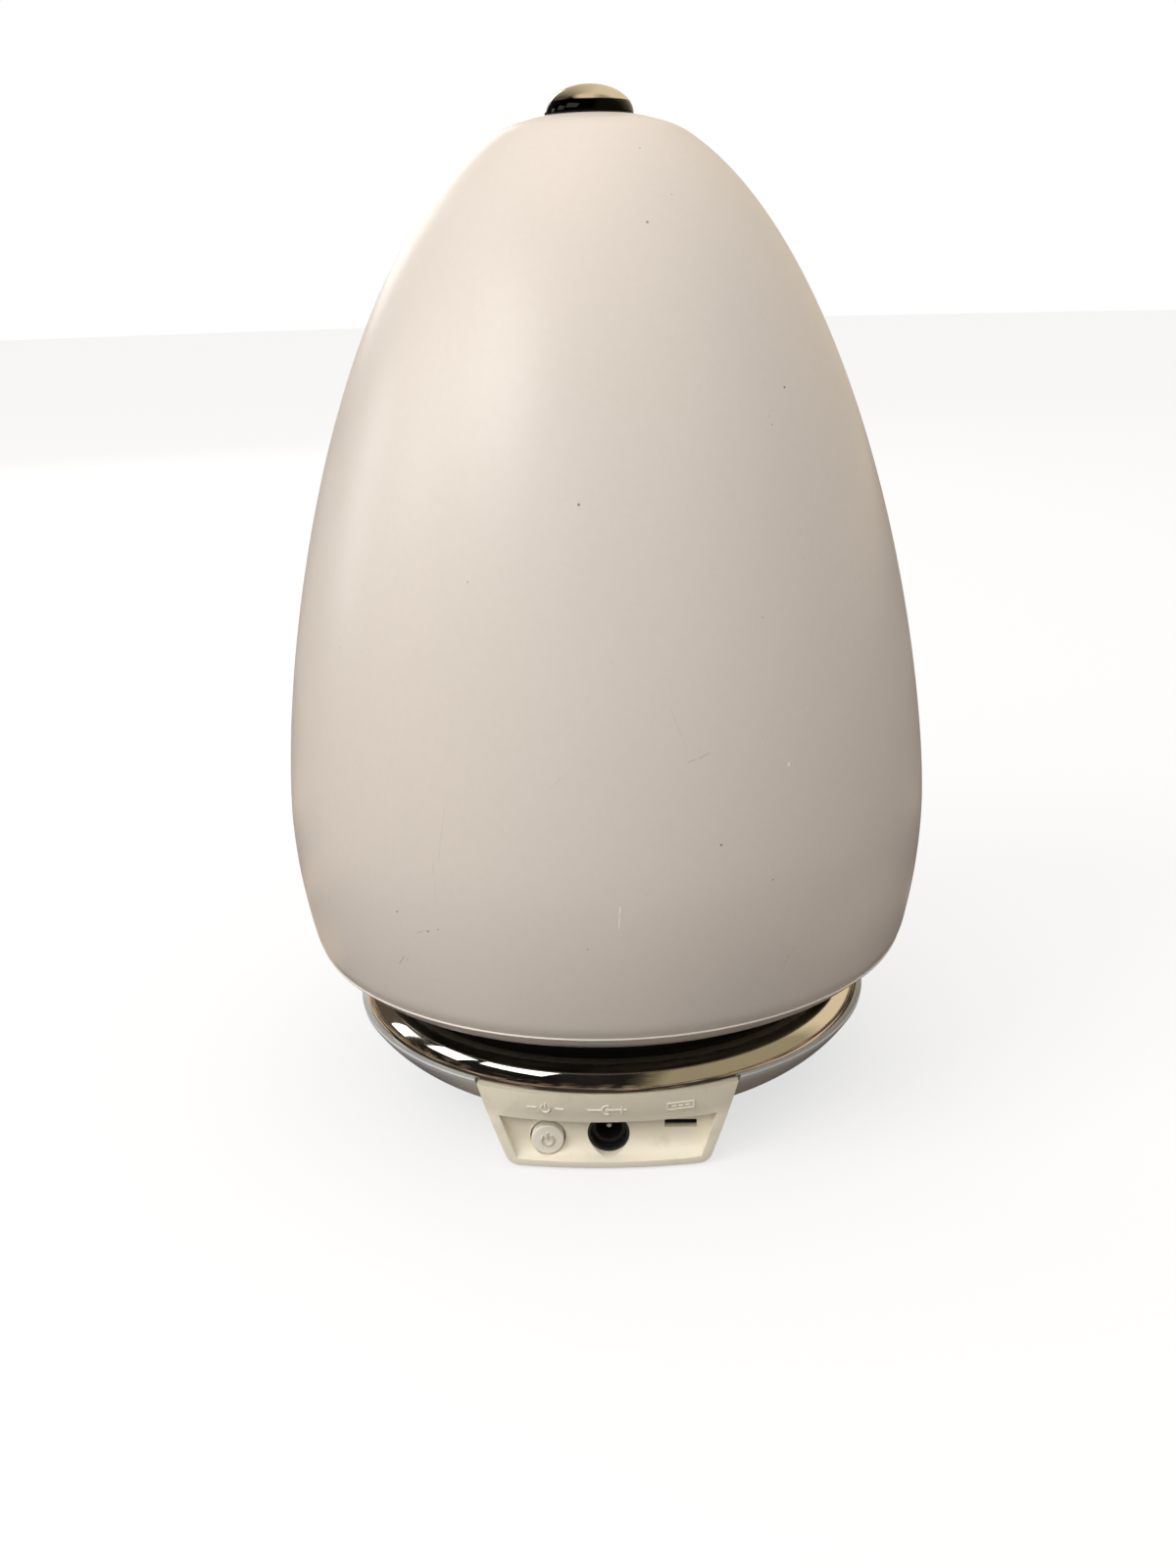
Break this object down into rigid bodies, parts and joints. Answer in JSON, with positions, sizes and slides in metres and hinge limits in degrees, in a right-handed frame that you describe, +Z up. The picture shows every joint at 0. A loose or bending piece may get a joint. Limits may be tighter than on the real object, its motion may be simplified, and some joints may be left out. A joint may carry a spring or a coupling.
{
  "type": "cool mist humidifier",
  "caption": "Tabletop cool mist humidifier: a glossy egg-shaped water tank with a chrome mist cap lifts off a round chrome-rimmed base with a connector panel.",
  "frame": {"origin": "centre of the round base on the surface it stands on", "axes": "+Z up along the axis of the egg; the connector panel faces -Y; +X is to the right seen from the panel"},
  "size_m": [0.1564, 0.1564, 0.235],
  "materials": {
    "silver_paint": "satin silver paint over moulded plastic",
    "chrome": "polished chrome plating",
    "black_plastic": "black moulded plastic",
    "panel_ivory": "satin ivory plastic",
    "ivory_gloss": "glossy ivory plastic with small scuffs and specks",
    "inner_plastic": "frosted pale grey plastic",
    "float_plastic": "white foamed plastic",
    "rubber": "matte black rubber",
    "silicone": "translucent white silicone",
    "glass_tube": "clear glass capsule",
    "steel": "zinc plated steel",
    "brass": "brass and copper",
    "aluminium": "satin aluminium",
    "circuit_board": "green solder mask",
    "lead_insulation": "soft insulation"
  },
  "bodies": {
    "base": {"base_bowl": "silver_paint", "bottom_plate": "silver_paint", "chrome_ring": "chrome", "seat_collar": "black_plastic", "dc_jack": "black_plastic", "tact_switch": "black_plastic", "fan_housing": "black_plastic", "power_transistor": "black_plastic", "controller_chip": "black_plastic", "connector_panel": "panel_ivory", "water_basin": "inner_plastic", "transducer_clamp": "inner_plastic", "float_clip": "inner_plastic", "rubber_foot_1": "rubber", "rubber_foot_2": "rubber", "rubber_foot_3": "rubber", "rubber_foot_4": "rubber", "air_duct": "rubber", "transducer_gasket": "silicone", "reed_switch": "glass_tube", "plate_screw_1": "steel", "plate_screw_2": "steel", "plate_screw_3": "steel", "plate_screw_4": "steel", "case_screw_1": "steel", "case_screw_2": "steel", "case_screw_3": "steel", "clamp_screw_1": "steel", "clamp_screw_2": "steel", "board_screw_1": "steel", "board_screw_2": "steel", "service_socket": "steel", "jack_pin": "steel", "transducer_disc": "brass", "inductor": "brass", "heat_sink": "aluminium", "capacitor": "aluminium", "main_board": "circuit_board", "panel_board": "circuit_board", "level_board": "circuit_board", "transducer_lead": "lead_insulation", "fan_lead": "lead_insulation", "power_lead": "lead_insulation"},
    "fan": {"fan_rotor": "black_plastic"},
    "float": {"water_float": "float_plastic", "float_magnet": "steel"},
    "button": {"power_button": "panel_ivory"},
    "tank": {"tank_shell": "ivory_gloss", "tank_floor": "inner_plastic", "floor_seal": "silicone", "chimney_seal": "silicone", "mist_chimney": "inner_plastic", "outlet_collar": "black_plastic"},
    "outlet": {"mist_cap": "chrome"},
    "filler": {"fill_cap": "inner_plastic", "valve_cage": "inner_plastic", "valve_spring": "steel"},
    "valve": {"valve_plunger": "inner_plastic", "valve_seal": "rubber"}
  },
  "joints": [
    {"name": "tank_lift", "type": "slide", "parent": "base", "child": "tank", "axis": [0, 0, 1], "range_m": [0, 0.08]},
    {"name": "mist_cap_lift", "type": "slide", "parent": "tank", "child": "outlet", "axis": [0, 0, 1], "range_m": [0, 0.02]},
    {"name": "fill_cap_turn", "type": "hinge", "parent": "tank", "child": "filler", "pos_m": [-0.028, 0, 0.0465], "axis": [0, 0, 1], "range_deg": [0, 90]},
    {"name": "valve_slide", "type": "slide", "parent": "filler", "child": "valve", "axis": [0, 0, 1], "range_m": [-0.003, 0], "deforming": ["valve_spring"]},
    {"name": "fan_spin", "type": "hinge", "parent": "base", "child": "fan", "pos_m": [0.017, 0.02, 0.013], "axis": [0, 0, 1], "continuous": true},
    {"name": "float_rise", "type": "slide", "parent": "base", "child": "float", "axis": [0, 0, 1], "range_m": [0, 0.005]},
    {"name": "button_press", "type": "slide", "parent": "base", "child": "button", "axis": [0, 1, 0], "range_m": [0, 0.0012], "stiffness_N_per_m": 1000}
  ],
  "couplings": [
    {"joint": "valve_slide", "follows": "tank_lift", "ratio": -0.0375}
  ]
}
